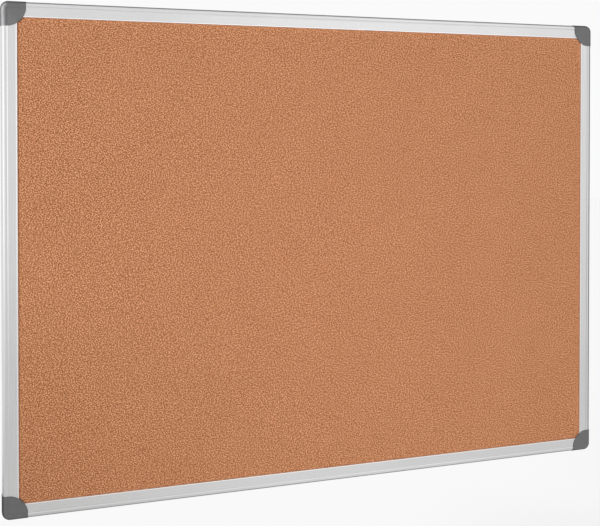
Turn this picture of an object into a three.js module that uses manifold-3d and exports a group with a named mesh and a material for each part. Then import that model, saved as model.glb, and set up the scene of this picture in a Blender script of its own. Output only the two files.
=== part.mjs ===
// Framed cork notice board: aluminium rails, moulded corners, a cork-faced panel and push-on corner caps.
// Millimetres, +Z up. The board faces -Y, its back lies in the plane Y = 0, and the origin is the middle
// of that plane. "Inset" is measured inwards from the rails' outer faces, "rise" forwards from the wall.

import * as THREE from 'three';
import { mergeVertices } from 'three/addons/utils/BufferGeometryUtils.js';
import Module from 'manifold-3d';

const wasm = await Module();
wasm.setup();

// Board, measured over the outer faces of the rails
const BOARD_WIDTH = 1200;
const BOARD_HEIGHT = 900;

// Rail section
const RAIL_DEPTH = 20;
const RAIL_FACE = 27;
const RAIL_WALL = 1.6;
const CHAMBER_WIDTH = 14;
const BACK_FLANGE = 8;
const EDGE_ROUND = 8;
const GROOVE_LAND = 0.4;
const GROOVE_WIDTH = 3;
const GROOVE_DEPTH = 0.8;
const GROOVE_FLOOR = 1;
const FACE_RISE = 0.5;
const LIP_WIDTH = 2;
const LIP_HEIGHT = 3.5;
const LIP_ROUND = 0.8;

// Panel layers
const CORK_THICKNESS = 2.5;
const CORE_THICKNESS = 6.5;
const BACKING_THICKNESS = 0.6;

// Corner brackets
const CORNER_ROUND = 13;
const TONGUE_LENGTH = 38;
const TONGUE_CHAMFER = 2.5;
const WALL_HOLE_DIAMETER = 7;
const WALL_HOLE_INSET = 8.6;
const HEAD_RECESS_DIAMETER = 10;
const HEAD_SEAT = 4.5;

// Corner caps
const CAP_WALL = 1.2;
const CAP_OVERLAP = 15.4;
const CAP_CORNER_LAP = 5.5;
const CAP_WALL_GAP = 1;
const CAP_GROOVE_DEPTH = 0.4;
const PEG_DIAMETER = 5;
const PEG_LENGTH = 7;
const PEG_FROM_END = 6;
const BOSS_DIAMETER = 8;

// Screws that hold the rails on the brackets' tongues
const SCREW_DIAMETER = 3;
const SCREW_TIP_COVER = 0.4;
const SCREW_POINT = 2;
const SCREW_FROM_END = 15;
const SCREW_HEAD_DIAMETER = 6.4;
const SCREW_HEAD_HEIGHT = 1.9;
const SCREW_HEAD_CROWN = 0.6;
const SCREW_HEAD_SINK = 0.4;
const DRIVE_WIDTH = 1;
const DRIVE_SPAN = 3.6;
const DRIVE_DEPTH = 1.1;

// Fits
const CLEARANCE = 0.3;
const PANEL_GAP = 0.4;

// How far a cutting tool runs past what it cuts, and how deep a joined piece is sunk into its root
const OVERRUN = 5;
const ROOT_SINK = 1;

// Facets of round shapes
const ARC_STEPS = 8;
const EDGE_STEPS = 6;
const POST_SIDES = 24;
const SCREW_SIDES = 16;
const SHARPEST_ROUND = 0.5;
const WELD_DISTANCE = 1e-4;

// Rises and insets that follow from the sizes above
const BAND_RISE = RAIL_DEPTH - FACE_RISE;
const GROOVE_START = EDGE_ROUND + GROOVE_LAND;
const GROOVE_END = GROOVE_START + GROOVE_WIDTH;
const LIP_START = RAIL_FACE - LIP_WIDTH;
const LIP_FOOT = RAIL_DEPTH - LIP_HEIGHT;
const BACK_CHANNEL = SCREW_HEAD_SINK + SCREW_HEAD_HEIGHT + CLEARANCE;
const CHAMBER_FLOOR = BACK_CHANNEL + RAIL_WALL;
const CHAMBER_END = RAIL_WALL + CHAMBER_WIDTH;
const CHAMBER_MIDDLE = RAIL_WALL + CHAMBER_WIDTH / 2;
const SLOT_FLOOR = CHAMBER_END + RAIL_WALL;
const CORK_FRONT = LIP_FOOT - CLEARANCE;
const CORK_BACK = CORK_FRONT - CORK_THICKNESS;
const CORE_BACK = CORK_BACK - CORE_THICKNESS;
const PANEL_BACK = CORE_BACK - BACKING_THICKNESS;
const FLANGE_FRONT = PANEL_BACK - CLEARANCE;
const PANEL_INSET = SLOT_FLOOR + PANEL_GAP;
const ARM_END = RAIL_FACE;
const RAIL_END = ARM_END + CLEARANCE;
const BRACKET_FRONT = BAND_RISE - EDGE_ROUND;
const ARM_WIDTH = SLOT_FLOOR - CLEARANCE;
const TONGUE_BACK = CHAMBER_FLOOR + CLEARANCE;
const TONGUE_FRONT = BRACKET_FRONT - CLEARANCE;
const SCREW_ALONG = RAIL_END + SCREW_FROM_END;
const CAP_PROUD = CLEARANCE + CAP_WALL;
const CAP_REACH = RAIL_FACE + CAP_OVERLAP;
const PEG_ALONG = ARM_END - PEG_FROM_END;
const PEG_INSET = ARM_WIDTH / 2;

const ALUMINIUM = { color: 0xd2d3d4, roughness: 0.35, metalness: 1 };
const GREY_PLASTIC = { color: 0x6e6f71, roughness: 0.55, metalness: 0 };
const BRACKET_PLASTIC = { color: 0x3a3b3d, roughness: 0.6, metalness: 0 };
const CORK = { color: 0xc08660, roughness: 0.9, metalness: 0 };
const FIBREBOARD = { color: 0x8d7a60, roughness: 0.95, metalness: 0 };
const LINER = { color: 0xb59c77, roughness: 0.9, metalness: 0 };
const ZINC = { color: 0xb9bcc0, roughness: 0.4, metalness: 1 };

function solid(geometry) {
  const bare = geometry.clone();
  bare.deleteAttribute('normal');
  bare.deleteAttribute('uv');
  const merged = mergeVertices(bare, WELD_DISTANCE);
  const vertProperties = new Float32Array(merged.attributes.position.array);
  const triVerts = new Uint32Array(merged.index.array);
  return new wasm.Manifold(new wasm.Mesh({ numProp: 3, vertProperties, triVerts }));
}

function geometryOf(manifold) {
  const mesh = manifold.getMesh();
  const geometry = new THREE.BufferGeometry();
  geometry.setAttribute('position', new THREE.BufferAttribute(mesh.vertProperties.slice(), 3));
  geometry.setIndex(new THREE.BufferAttribute(mesh.triVerts.slice(), 1));
  return geometry.toNonIndexed();
}

function piece(name, geometry, finish) {
  geometry.computeVertexNormals();
  const mesh = new THREE.Mesh(geometry, new THREE.MeshStandardMaterial(finish));
  mesh.name = name;
  return mesh;
}

// A flat shape in (along, inset), extruded forwards from one rise to another
function prism(shape, low, high, curveSegments = ARC_STEPS) {
  const settings = { depth: high - low, bevelEnabled: false, curveSegments };
  const geometry = new THREE.ExtrudeGeometry(shape, settings);
  geometry.translate(0, 0, low);
  return geometry;
}

function rectangle(left, bottom, right, top) {
  return new THREE.Shape([
    new THREE.Vector2(left, bottom),
    new THREE.Vector2(right, bottom),
    new THREE.Vector2(right, top),
    new THREE.Vector2(left, top),
  ]);
}

// A round bar standing forwards at one place of the corner
function post(along, inset, diameter, low, high, sides = POST_SIDES) {
  const geometry = new THREE.CylinderGeometry(diameter / 2, diameter / 2, high - low, sides);
  geometry.rotateX(Math.PI / 2);
  geometry.translate(along, inset, (low + high) / 2);
  return geometry;
}

// Section of a rail, inset across and rise up
function railSection() {
  const grooveMiddle = (GROOVE_START + GROOVE_END) / 2;
  const section = new THREE.Shape();
  section.moveTo(0, 0);
  section.lineTo(RAIL_WALL, 0);
  section.lineTo(RAIL_WALL, BACK_CHANNEL);
  section.lineTo(CHAMBER_END, BACK_CHANNEL);
  section.lineTo(CHAMBER_END, 0);
  section.lineTo(SLOT_FLOOR, 0);
  section.lineTo(SLOT_FLOOR, FLANGE_FRONT - RAIL_WALL);
  section.lineTo(SLOT_FLOOR + BACK_FLANGE, FLANGE_FRONT - RAIL_WALL);
  section.lineTo(SLOT_FLOOR + BACK_FLANGE, FLANGE_FRONT);
  section.lineTo(SLOT_FLOOR, FLANGE_FRONT);
  section.lineTo(SLOT_FLOOR, LIP_FOOT);
  section.lineTo(RAIL_FACE, LIP_FOOT);
  section.lineTo(RAIL_FACE, RAIL_DEPTH - LIP_ROUND);
  section.absarc(RAIL_FACE - LIP_ROUND, RAIL_DEPTH - LIP_ROUND, LIP_ROUND, 0, Math.PI / 2, false);
  section.lineTo(LIP_START, RAIL_DEPTH);
  section.lineTo(GROOVE_END, BAND_RISE);
  section.lineTo(grooveMiddle + GROOVE_FLOOR / 2, BAND_RISE - GROOVE_DEPTH);
  section.lineTo(grooveMiddle - GROOVE_FLOOR / 2, BAND_RISE - GROOVE_DEPTH);
  section.lineTo(GROOVE_START, BAND_RISE);
  section.lineTo(EDGE_ROUND, BAND_RISE);
  section.absarc(EDGE_ROUND, BAND_RISE - EDGE_ROUND, EDGE_ROUND, Math.PI / 2, Math.PI, false);
  section.closePath();

  const chamber = new THREE.Path();
  chamber.moveTo(RAIL_WALL, CHAMBER_FLOOR);
  chamber.lineTo(RAIL_WALL, BAND_RISE - EDGE_ROUND);
  chamber.absarc(EDGE_ROUND, BAND_RISE - EDGE_ROUND, EDGE_ROUND - RAIL_WALL, Math.PI, Math.PI / 2, true);
  chamber.lineTo(CHAMBER_END, BAND_RISE - RAIL_WALL);
  chamber.lineTo(CHAMBER_END, CHAMBER_FLOOR);
  chamber.closePath();
  section.holes.push(chamber);
  return section;
}

// A rail lying along X, with its outer face up at Z = 0 and its middle at X = 0
function railGeometry(length) {
  const bar = prism(railSection(), -length / 2, length / 2);
  const holeRadius = SCREW_DIAMETER / 2 + CLEARANCE;
  let rail = solid(bar);
  for (const end of [-1, 1]) {
    const drill = new THREE.CylinderGeometry(holeRadius, holeRadius, 2 * RAIL_WALL, SCREW_SIDES);
    drill.translate(CHAMBER_MIDDLE, BACK_CHANNEL + RAIL_WALL / 2, end * (length / 2 - SCREW_FROM_END));
    rail = rail.subtract(solid(drill));
  }
  const geometry = geometryOf(rail);
  const inwards = new THREE.Vector3(0, 0, -1);
  const forwards = new THREE.Vector3(0, -1, 0);
  const along = new THREE.Vector3().crossVectors(inwards, forwards);
  return geometry.applyMatrix4(new THREE.Matrix4().makeBasis(inwards, forwards, along));
}

// Corner pieces are drawn in (along, inset, rise) from the frame's outer corner, and are the same seen
// from either rail. This turns them to the top right corner, with that corner at the origin.
function toTopRightCorner(geometry) {
  const along = new THREE.Vector3(-1, 0, 0);
  const inwards = new THREE.Vector3(0, 0, -1);
  const forwards = new THREE.Vector3(0, -1, 0);
  const turned = new THREE.Matrix4().makeBasis(along, inwards, forwards);
  return geometry.applyMatrix4(turned);
}

// Corner outline at a set distance outside the rails' outer faces, run on to a square far side
function cornerOutline(offset, far) {
  const round = Math.max(CORNER_ROUND + offset, SHARPEST_ROUND);
  const outline = new THREE.Shape();
  outline.moveTo(far, -offset);
  outline.lineTo(far, far);
  outline.lineTo(-offset, far);
  outline.lineTo(-offset, round - offset);
  outline.absarc(round - offset, round - offset, round, Math.PI, 1.5 * Math.PI, false);
  outline.closePath();
  return outline;
}

// The frame's front form carried round the corner, at a set distance outside the rails
function cornerForm(offset) {
  const far = CAP_REACH + 2 * RAIL_DEPTH;
  const edge = EDGE_ROUND + offset;
  const bandDepth = RAIL_DEPTH + 2 * OVERRUN;
  const band = new THREE.ExtrudeGeometry(cornerOutline(offset, far), {
    depth: bandDepth,
    bevelThickness: edge,
    bevelSize: edge,
    bevelOffset: -edge,
    bevelSegments: EDGE_STEPS,
    curveSegments: ARC_STEPS,
  });
  band.translate(0, 0, BAND_RISE + offset - edge - bandDepth);

  const slopeRun = LIP_START - GROOVE_END;
  const plateau = new THREE.ExtrudeGeometry(rectangle(LIP_START, LIP_START, far, far), {
    depth: bandDepth,
    bevelThickness: FACE_RISE,
    bevelSize: slopeRun,
    bevelSegments: 1,
  });
  plateau.translate(0, 0, BAND_RISE + offset - bandDepth);
  return solid(band).add(solid(plateau));
}

// Plan of a cap: square to the rails' outer faces, and arched where it meets the cork
function capPlan() {
  const outer = -CAP_PROUD - OVERRUN;
  const halfChord = (CAP_REACH + CAP_PROUD) / Math.SQRT2;
  const chordMiddle = (CAP_REACH - CAP_PROUD) / 2;
  const bulge = (RAIL_FACE + CAP_CORNER_LAP - chordMiddle) * Math.SQRT2;
  const radius = (halfChord ** 2 + bulge ** 2) / (2 * bulge);
  const centre = RAIL_FACE + CAP_CORNER_LAP - radius / Math.SQRT2;
  const startAngle = Math.atan2(-CAP_PROUD - centre, CAP_REACH - centre);
  const endAngle = Math.PI / 2 - startAngle;
  const plan = new THREE.Shape();
  plan.moveTo(outer, outer);
  plan.lineTo(CAP_REACH, outer);
  plan.lineTo(CAP_REACH, -CAP_PROUD);
  plan.absarc(centre, centre, radius, startAngle, endAngle, false);
  plan.lineTo(outer, CAP_REACH);
  plan.closePath();
  return plan;
}

function capGeometry() {
  const far = CAP_REACH + OVERRUN;
  const capBand = BAND_RISE + CAP_PROUD;
  const grooveFloor = capBand - CAP_GROOVE_DEPTH;
  const grooveTop = capBand + OVERRUN;
  const outerPlan = cornerOutline(-GROOVE_START, far);
  const innerPlan = cornerOutline(-GROOVE_END, far + OVERRUN);
  const outerPrism = prism(outerPlan, grooveFloor, grooveTop);
  const innerPrism = prism(innerPlan, grooveFloor - OVERRUN, grooveTop + OVERRUN);
  const groove = solid(outerPrism).subtract(solid(innerPrism));
  const blank = solid(prism(capPlan(), CAP_WALL_GAP, RAIL_DEPTH + CAP_PROUD + OVERRUN, 2 * ARC_STEPS));
  let cap = cornerForm(CAP_PROUD).intersect(blank).subtract(groove).subtract(cornerForm(CLEARANCE));

  const roof = BAND_RISE + CLEARANCE + CAP_WALL / 2;
  const seat = BRACKET_FRONT + CLEARANCE;
  for (const [along, inset] of [[PEG_ALONG, PEG_INSET], [PEG_INSET, PEG_ALONG]]) {
    cap = cap.add(solid(post(along, inset, BOSS_DIAMETER, seat, roof)));
    cap = cap.add(solid(post(along, inset, PEG_DIAMETER, BRACKET_FRONT - PEG_LENGTH, roof)));
  }
  return toTopRightCorner(geometryOf(cap));
}

// One tongue, lying along the first direction of the corner
function tonguePlan() {
  const low = RAIL_WALL + CLEARANCE;
  const high = CHAMBER_END - CLEARANCE;
  const root = ARM_END - ROOT_SINK;
  const tip = ARM_END + TONGUE_LENGTH;
  return new THREE.Shape([
    new THREE.Vector2(root, low),
    new THREE.Vector2(tip - TONGUE_CHAMFER, low),
    new THREE.Vector2(tip, low + TONGUE_CHAMFER),
    new THREE.Vector2(tip, high - TONGUE_CHAMFER),
    new THREE.Vector2(tip - TONGUE_CHAMFER, high),
    new THREE.Vector2(root, high),
  ]);
}

// The same plan seen from the other rail
function swapped(shape) {
  const points = shape.getPoints().map((point) => new THREE.Vector2(point.y, point.x));
  return new THREE.Shape(points.reverse());
}

function bracketGeometry() {
  const pilot = SCREW_DIAMETER + 2 * CLEARANCE;
  const socket = PEG_DIAMETER + 2 * CLEARANCE;
  const socketFloor = BRACKET_FRONT - PEG_LENGTH - CLEARANCE;
  const block = solid(prism(cornerOutline(0, ARM_END), 0, BRACKET_FRONT));
  const panelCorner = rectangle(ARM_WIDTH, ARM_WIDTH, ARM_END + OVERRUN, ARM_END + OVERRUN);
  let bracket = block.subtract(solid(prism(panelCorner, -OVERRUN, BRACKET_FRONT + OVERRUN)));
  for (const plan of [tonguePlan(), swapped(tonguePlan())]) {
    bracket = bracket.add(solid(prism(plan, TONGUE_BACK, TONGUE_FRONT)));
  }
  for (const [along, inset] of [[PEG_ALONG, PEG_INSET], [PEG_INSET, PEG_ALONG]]) {
    bracket = bracket.subtract(solid(post(along, inset, socket, socketFloor, BRACKET_FRONT + OVERRUN)));
  }
  for (const [along, inset] of [[SCREW_ALONG, CHAMBER_MIDDLE], [CHAMBER_MIDDLE, SCREW_ALONG]]) {
    const drill = post(along, inset, pilot, TONGUE_BACK - OVERRUN, TONGUE_FRONT + OVERRUN, SCREW_SIDES);
    bracket = bracket.subtract(solid(drill));
  }
  for (const [diameter, floor] of [[WALL_HOLE_DIAMETER, -OVERRUN], [HEAD_RECESS_DIAMETER, HEAD_SEAT]]) {
    const drill = post(WALL_HOLE_INSET, WALL_HOLE_INSET, diameter, floor, BRACKET_FRONT + OVERRUN);
    bracket = bracket.subtract(solid(drill));
  }
  return toTopRightCorner(geometryOf(bracket));
}

// A pan-head screw at the back of one rail, driven forwards into the tongue
function screwGeometry(along, inset) {
  const headTop = BACK_CHANNEL - CLEARANCE;
  const headBack = headTop - SCREW_HEAD_HEIGHT;
  const headRadius = SCREW_HEAD_DIAMETER / 2;
  const radius = SCREW_DIAMETER / 2;
  const tip = TONGUE_FRONT - SCREW_TIP_COVER;
  const outline = [
    new THREE.Vector2(0, headBack),
    new THREE.Vector2(headRadius - SCREW_HEAD_CROWN, headBack),
    new THREE.Vector2(headRadius, headBack + SCREW_HEAD_CROWN),
    new THREE.Vector2(headRadius, headTop),
    new THREE.Vector2(radius, headTop),
    new THREE.Vector2(radius, tip - SCREW_POINT),
    new THREE.Vector2(0, tip),
  ];
  const turned = new THREE.LatheGeometry(outline, SCREW_SIDES);
  turned.rotateX(Math.PI / 2);
  let screw = solid(turned);
  for (const [width, span] of [[DRIVE_WIDTH, DRIVE_SPAN], [DRIVE_SPAN, DRIVE_WIDTH]]) {
    const wing = rectangle(-width / 2, -span / 2, width / 2, span / 2);
    screw = screw.subtract(solid(prism(wing, headBack - OVERRUN, headBack + DRIVE_DEPTH)));
  }
  const geometry = geometryOf(screw);
  geometry.translate(along, inset, 0);
  return toTopRightCorner(geometry);
}

// A flat layer of the panel between two rises
function layer(name, back, front, finish) {
  const width = BOARD_WIDTH - 2 * PANEL_INSET;
  const height = BOARD_HEIGHT - 2 * PANEL_INSET;
  const sheet = piece(name, new THREE.BoxGeometry(width, front - back, height), finish);
  sheet.position.y = -(front + back) / 2;
  return sheet;
}

function panel() {
  const group = new THREE.Group();
  group.add(layer('cork_sheet', CORK_BACK, CORK_FRONT, CORK));
  group.add(layer('core_board', CORE_BACK, CORK_BACK, FIBREBOARD));
  group.add(layer('backing_sheet', PANEL_BACK, CORE_BACK, LINER));
  return group;
}

// The sides and corners in turn, clockwise from the top and the top right
const SIDES = ['top', 'right', 'bottom', 'left'];
const CORNERS = ['top_right', 'bottom_right', 'bottom_left', 'top_left'];

function rails() {
  const group = new THREE.Group();
  SIDES.forEach((side, turn) => {
    const upright = turn % 2 === 1;
    const length = (upright ? BOARD_HEIGHT : BOARD_WIDTH) - 2 * RAIL_END;
    const fromMiddle = (upright ? BOARD_WIDTH : BOARD_HEIGHT) / 2;
    const rail = piece(`${side}_rail`, railGeometry(length), ALUMINIUM);
    rail.position.z = fromMiddle;
    const turned = new THREE.Group();
    turned.rotation.y = (turn * Math.PI) / 2;
    turned.add(rail);
    group.add(turned);
  });
  return group;
}

function corners() {
  const group = new THREE.Group();
  CORNERS.forEach((name, turn) => {
    const upright = turn % 2 === 1;
    const across = (upright ? BOARD_HEIGHT : BOARD_WIDTH) / 2;
    const up = (upright ? BOARD_WIDTH : BOARD_HEIGHT) / 2;
    const corner = new THREE.Group();
    corner.position.set(across, 0, up);
    corner.add(piece(`corner_bracket_${name}`, bracketGeometry(), BRACKET_PLASTIC));
    corner.add(piece(`corner_cap_${name}`, capGeometry(), GREY_PLASTIC));
    corner.add(piece(`bracket_screw_${name}_a`, screwGeometry(SCREW_ALONG, CHAMBER_MIDDLE), ZINC));
    corner.add(piece(`bracket_screw_${name}_b`, screwGeometry(CHAMBER_MIDDLE, SCREW_ALONG), ZINC));
    const turned = new THREE.Group();
    turned.rotation.y = (turn * Math.PI) / 2;
    turned.add(corner);
    group.add(turned);
  });
  return group;
}

const board = new THREE.Group();
board.add(panel());
board.add(rails());
board.add(corners());

export default board;
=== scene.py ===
# Framed cork notice board: the looks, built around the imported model.
# Metres, +Z up. The cork faces -Y, the wall is the plane Y = 0 and the origin is the middle of that
# plane. Corner pieces are drawn in (along, inset, rise): inwards from the frame's outer corner along one
# rail and along the other, and forwards from the wall.

import math

import bmesh
import bpy
from mathutils import Matrix, Vector, noise


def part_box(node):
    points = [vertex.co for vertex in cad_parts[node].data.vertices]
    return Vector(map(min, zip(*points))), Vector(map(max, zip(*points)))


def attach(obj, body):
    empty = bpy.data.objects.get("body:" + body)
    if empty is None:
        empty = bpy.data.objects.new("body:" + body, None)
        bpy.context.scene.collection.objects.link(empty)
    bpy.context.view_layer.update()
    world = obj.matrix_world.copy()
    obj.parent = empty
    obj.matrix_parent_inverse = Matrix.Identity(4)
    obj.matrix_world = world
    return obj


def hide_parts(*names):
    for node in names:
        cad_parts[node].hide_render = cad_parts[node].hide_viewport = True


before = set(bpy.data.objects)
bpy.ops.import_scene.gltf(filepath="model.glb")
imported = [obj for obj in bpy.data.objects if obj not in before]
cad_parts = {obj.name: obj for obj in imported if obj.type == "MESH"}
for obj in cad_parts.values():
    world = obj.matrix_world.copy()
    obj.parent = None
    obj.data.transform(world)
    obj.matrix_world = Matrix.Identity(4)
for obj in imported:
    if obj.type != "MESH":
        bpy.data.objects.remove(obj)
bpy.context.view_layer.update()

MM = 0.001

# Board, measured over the outer faces of the rails
HALF_WIDTH = 600 * MM
HALF_HEIGHT = 450 * MM

# Rail section
RAIL_DEPTH = 20 * MM
RAIL_FACE = 27 * MM
RAIL_WALL = 1.6 * MM
CHAMBER_END = 15.6 * MM
SLOT_FLOOR = 17.2 * MM
BACK_CHANNEL = 2.6 * MM
CHAMBER_FLOOR = 4.2 * MM
FLANGE_BACK = 4.7 * MM
FLANGE_FRONT = 6.3 * MM
FLANGE_END = 25.2 * MM
LIP_FOOT = 16.5 * MM
LIP_START = 25 * MM
LIP_ROUND = 0.35 * MM
LIP_FLANK = 0.6 * MM
LIP_MARGIN = 0.1 * MM
BAND_RISE = 19.4 * MM
EDGE_ROUND = 8 * MM
GROOVE_START = 8.2 * MM
GROOVE_END = 11.4 * MM
GROOVE_DEPTH = 0.8 * MM
GROOVE_STEEP = 1.1 * MM
GROOVE_FLOOR = 0.3 * MM
RAIL_END = 27.3 * MM
DIE_ROUND = 0.25 * MM

# Corner caps
CORNER_ROUND = 13 * MM
CAP_PROUD = 0.8 * MM
CAP_WALL = 0.7 * MM
CAP_REACH = 42.4 * MM
CAP_CORNER = 32.5 * MM
CAP_FOOT = 1 * MM
CAP_GROOVE_DEPTH = 0.8 * MM
CAP_RIM = 0.7 * MM
CAP_RIM_WALL = 0.9 * MM
CAP_MITRE_BLEND = 9 * MM
CAP_RIM_STEPS = (1, 0.6, 0.3, 0.1, 0)
PEG_ALONG = 21 * MM
PEG_INSET = 8.45 * MM
PEG_RADIUS = 2.5 * MM
PEG_TIP = 4.5 * MM
PEG_TIP_ROUND = 0.8 * MM
BOSS_RADIUS = 4 * MM
BOSS_FOOT = 11.8 * MM
PEG_ROOF = 19.8 * MM

# Corner brackets
BRACKET_FRONT = 11.5 * MM
ARM_END = 27 * MM
ARM_WIDTH = 16.9 * MM
WALL_HOLE_INSET = 8.6 * MM
WALL_HOLE_RADIUS = 3.5 * MM
HEAD_RECESS_RADIUS = 5 * MM
HEAD_SEAT = 4.5 * MM
SOCKET_RADIUS = 2.8 * MM
TONGUE_LOW = 1.9 * MM
TONGUE_HIGH = 15.3 * MM
TONGUE_TIP = 65 * MM
TONGUE_CHAMFER = 2.5 * MM
TONGUE_BACK = 4.5 * MM
TONGUE_FRONT = 11.2 * MM
TONGUE_ROOT = 1 * MM
MOULD_ROUND = 0.35 * MM

# Screws at the back
SCREW_ALONG = 42.3 * MM
SCREW_INSET = 8.6 * MM
SCREW_RADIUS = 1.5 * MM
SCREW_TIP = 10.8 * MM
SCREW_HEAD_RADIUS = 3.2 * MM
SCREW_HEAD_BACK = 0.4 * MM
SCREW_HEAD_FRONT = 2.3 * MM
SCREW_DRIVE_DEPTH = 1.1 * MM
SCREW_DRIVE_HALF_SPAN = 1.8 * MM
SCREW_DRIVE_HALF_WIDTH = 0.5 * MM
SCREW_POINT = 2 * MM
THREAD_PITCH = 1.1 * MM
THREAD_HEIGHT = 0.3 * MM
THREAD_CREST = 0.5
THREAD_FOOT = 0.8

# Sheets of the panel: edges eased by a share of the thickness and at most by SHEET_EASE
SHEET_EASE_SHARE = 0.3
SHEET_EASE = 0.4 * MM
SHEET_SEED_STEP = 10

# Roundness of meshes
ARC_STEP = math.radians(11.25)
SMOOTH_ANGLE = math.radians(38)
CIRCLE_SIDES = 40
PEG_SIDES = 32
PEG_TIP_STEPS = 4
BEVEL_STEPS = 2
WELD_DISTANCE = 0.001 * MM
WELD_DIGITS = 3

# Photograph's camera, found from the edges of the frame in the picture
CAMERA_PLACE = (-0.6769, -1.7945, 0.2171)
CAMERA_YAW = math.radians(19.307)
CAMERA_PITCH = math.radians(-0.8)
CAMERA_LENS = 59.3
CAMERA_SENSOR = 36
HORIZON_SHIFT = -0.18842
CAMERA_NEAR = 0.05
CAMERA_FAR = 50

CORNERS = {
    "top_left": (-1, 1),
    "top_right": (1, 1),
    "bottom_right": (1, -1),
    "bottom_left": (-1, -1),
}


def linear(*levels):
    """A colour for a shader, from levels of 0 to 255 as a picture shows them."""
    parts = [level / 255 for level in levels]
    parts = [part / 12.92 if part <= 0.04045 else ((part + 0.055) / 1.055) ** 2.4 for part in parts]
    return (*parts, 1.0)


# Materials


def add_node(tree, kind, inputs=None, **settings):
    node = tree.nodes.new(kind)
    for key, value in settings.items():
        setattr(node, key, value)
    for key, value in (inputs or {}).items():
        node.inputs[key].default_value = value
    return node


def new_material(name, **values):
    material = bpy.data.materials.new(name)
    material.use_nodes = True
    shader = material.node_tree.nodes["Principled BSDF"]
    for key, value in values.items():
        shader.inputs[key.replace("_", " ")].default_value = value
    return material, material.node_tree, shader


def stretched_coordinates(tree, output, scale):
    """Texture coordinates with their own scale on each axis."""
    source = add_node(tree, "ShaderNodeTexCoord")
    mapping = add_node(tree, "ShaderNodeMapping", {"Scale": scale})
    tree.links.new(source.outputs[output], mapping.inputs["Vector"])
    return mapping.outputs["Vector"]


def noise_texture(tree, vector, scale, detail=3, roughness=0.5, dimensions="3D"):
    values = {"Scale": scale, "Detail": detail, "Roughness": roughness}
    texture = add_node(tree, "ShaderNodeTexNoise", values, noise_dimensions=dimensions)
    tree.links.new(vector, texture.inputs["Vector"])
    return texture.outputs["Fac"]


def voronoi_texture(tree, vector, scale, dimensions="3D"):
    texture = add_node(tree, "ShaderNodeTexVoronoi", {"Scale": scale}, voronoi_dimensions=dimensions)
    tree.links.new(vector, texture.inputs["Vector"])
    return texture


def colour_ramp(tree, factor, stops):
    """A ramp through (place, colour) stops."""
    ramp = add_node(tree, "ShaderNodeValToRGB")
    elements = ramp.color_ramp.elements
    while len(elements) < len(stops):
        elements.new(1.0)
    for element, (place, colour) in zip(elements, stops):
        element.position = place
        element.color = colour
    tree.links.new(factor, ramp.inputs["Fac"])
    return ramp.outputs["Color"]


def range_map(tree, value, low, high):
    """Maps a texture's middle half to a range of values."""
    node = add_node(
        tree,
        "ShaderNodeMapRange",
        {"From Min": 0.25, "From Max": 0.75, "To Min": low, "To Max": high},
    )
    tree.links.new(value, node.inputs["Value"])
    return node.outputs["Result"]


def mix_colour(tree, factor, first, second, blend="MIX"):
    node = add_node(tree, "ShaderNodeMix", data_type="RGBA", blend_type=blend)
    for key, value in (("Factor", factor), ("A", first), ("B", second)):
        socket = next(s for s in node.inputs if s.name == key and s.enabled)
        if isinstance(value, bpy.types.NodeSocket):
            tree.links.new(value, socket)
        else:
            socket.default_value = value
    return next(s for s in node.outputs if s.enabled)


def add_bump(tree, shader, height, strength, distance):
    bump = add_node(tree, "ShaderNodeBump", {"Strength": strength, "Distance": distance})
    tree.links.new(height, bump.inputs["Height"])
    tree.links.new(bump.outputs["Normal"], shader.inputs["Normal"])


def random_of(tree, texture):
    """The random number of a Voronoi texture's cell."""
    split = add_node(tree, "ShaderNodeSeparateColor")
    tree.links.new(texture.outputs["Color"], split.inputs["Color"])
    return split.outputs["Red"]


# Cork: textures in features per metre, colours, roughness, and the bump's strength and depth
CORK_GRAIN = 500
CORK_GRANULES = 640
CORK_BARK = 520
CORK_DRIFT = 9
CORK_STOPS = [(0.28, linear(143, 84, 47)), (0.5, linear(189, 129, 90)), (0.72, linear(227, 167, 128))]
CORK_GRANULE_SHADES = [(0.0, (0.88, 0.82, 0.75, 1)), (1.0, (1.12, 1.18, 1.25, 1))]
CORK_BARK_SHARE = [(0.97, (0, 0, 0, 1)), (0.98, (0.5, 0.5, 0.5, 1))]
CORK_BARK_COLOUR = linear(100, 44, 8)
CORK_DRIFT_SHADES = [(0.3, (0.97, 0.965, 0.96, 1)), (0.7, (1, 1, 1, 1))]
CORK_ROUGHNESS = (0.82, 0.96)
CORK_BUMP = (0.35, 0.3 * MM)


def cork_material():
    """Agglomerated cork: a fine grain of pale and dark granules, and a few specks of bark."""
    material, tree, shader = new_material("cork", Specular_IOR_Level=0.1)
    place = stretched_coordinates(tree, "Object", (1, 1, 1))
    turned = add_node(tree, "ShaderNodeMapping", {"Rotation": (math.pi / 2, 0, math.pi / 4)})
    tree.links.new(place, turned.inputs["Vector"])
    face = turned.outputs["Vector"]
    grain = noise_texture(tree, face, CORK_GRAIN, detail=0, dimensions="2D")
    colour = colour_ramp(tree, grain, CORK_STOPS)
    granules = voronoi_texture(tree, face, CORK_GRANULES, dimensions="2D")
    granule_shade = colour_ramp(tree, random_of(tree, granules), CORK_GRANULE_SHADES)
    colour = mix_colour(tree, 1.0, colour, granule_shade, "MULTIPLY")
    bark = voronoi_texture(tree, place, CORK_BARK)
    bark_mask = colour_ramp(tree, random_of(tree, bark), CORK_BARK_SHARE)
    colour = mix_colour(tree, bark_mask, colour, CORK_BARK_COLOUR)
    drift = noise_texture(tree, place, CORK_DRIFT, detail=4)
    colour = mix_colour(tree, 1.0, colour, colour_ramp(tree, drift, CORK_DRIFT_SHADES), "MULTIPLY")
    tree.links.new(colour, shader.inputs["Base Color"])
    tree.links.new(range_map(tree, grain, *CORK_ROUGHNESS), shader.inputs["Roughness"])
    add_bump(tree, shader, grain, *CORK_BUMP)
    return material


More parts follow.
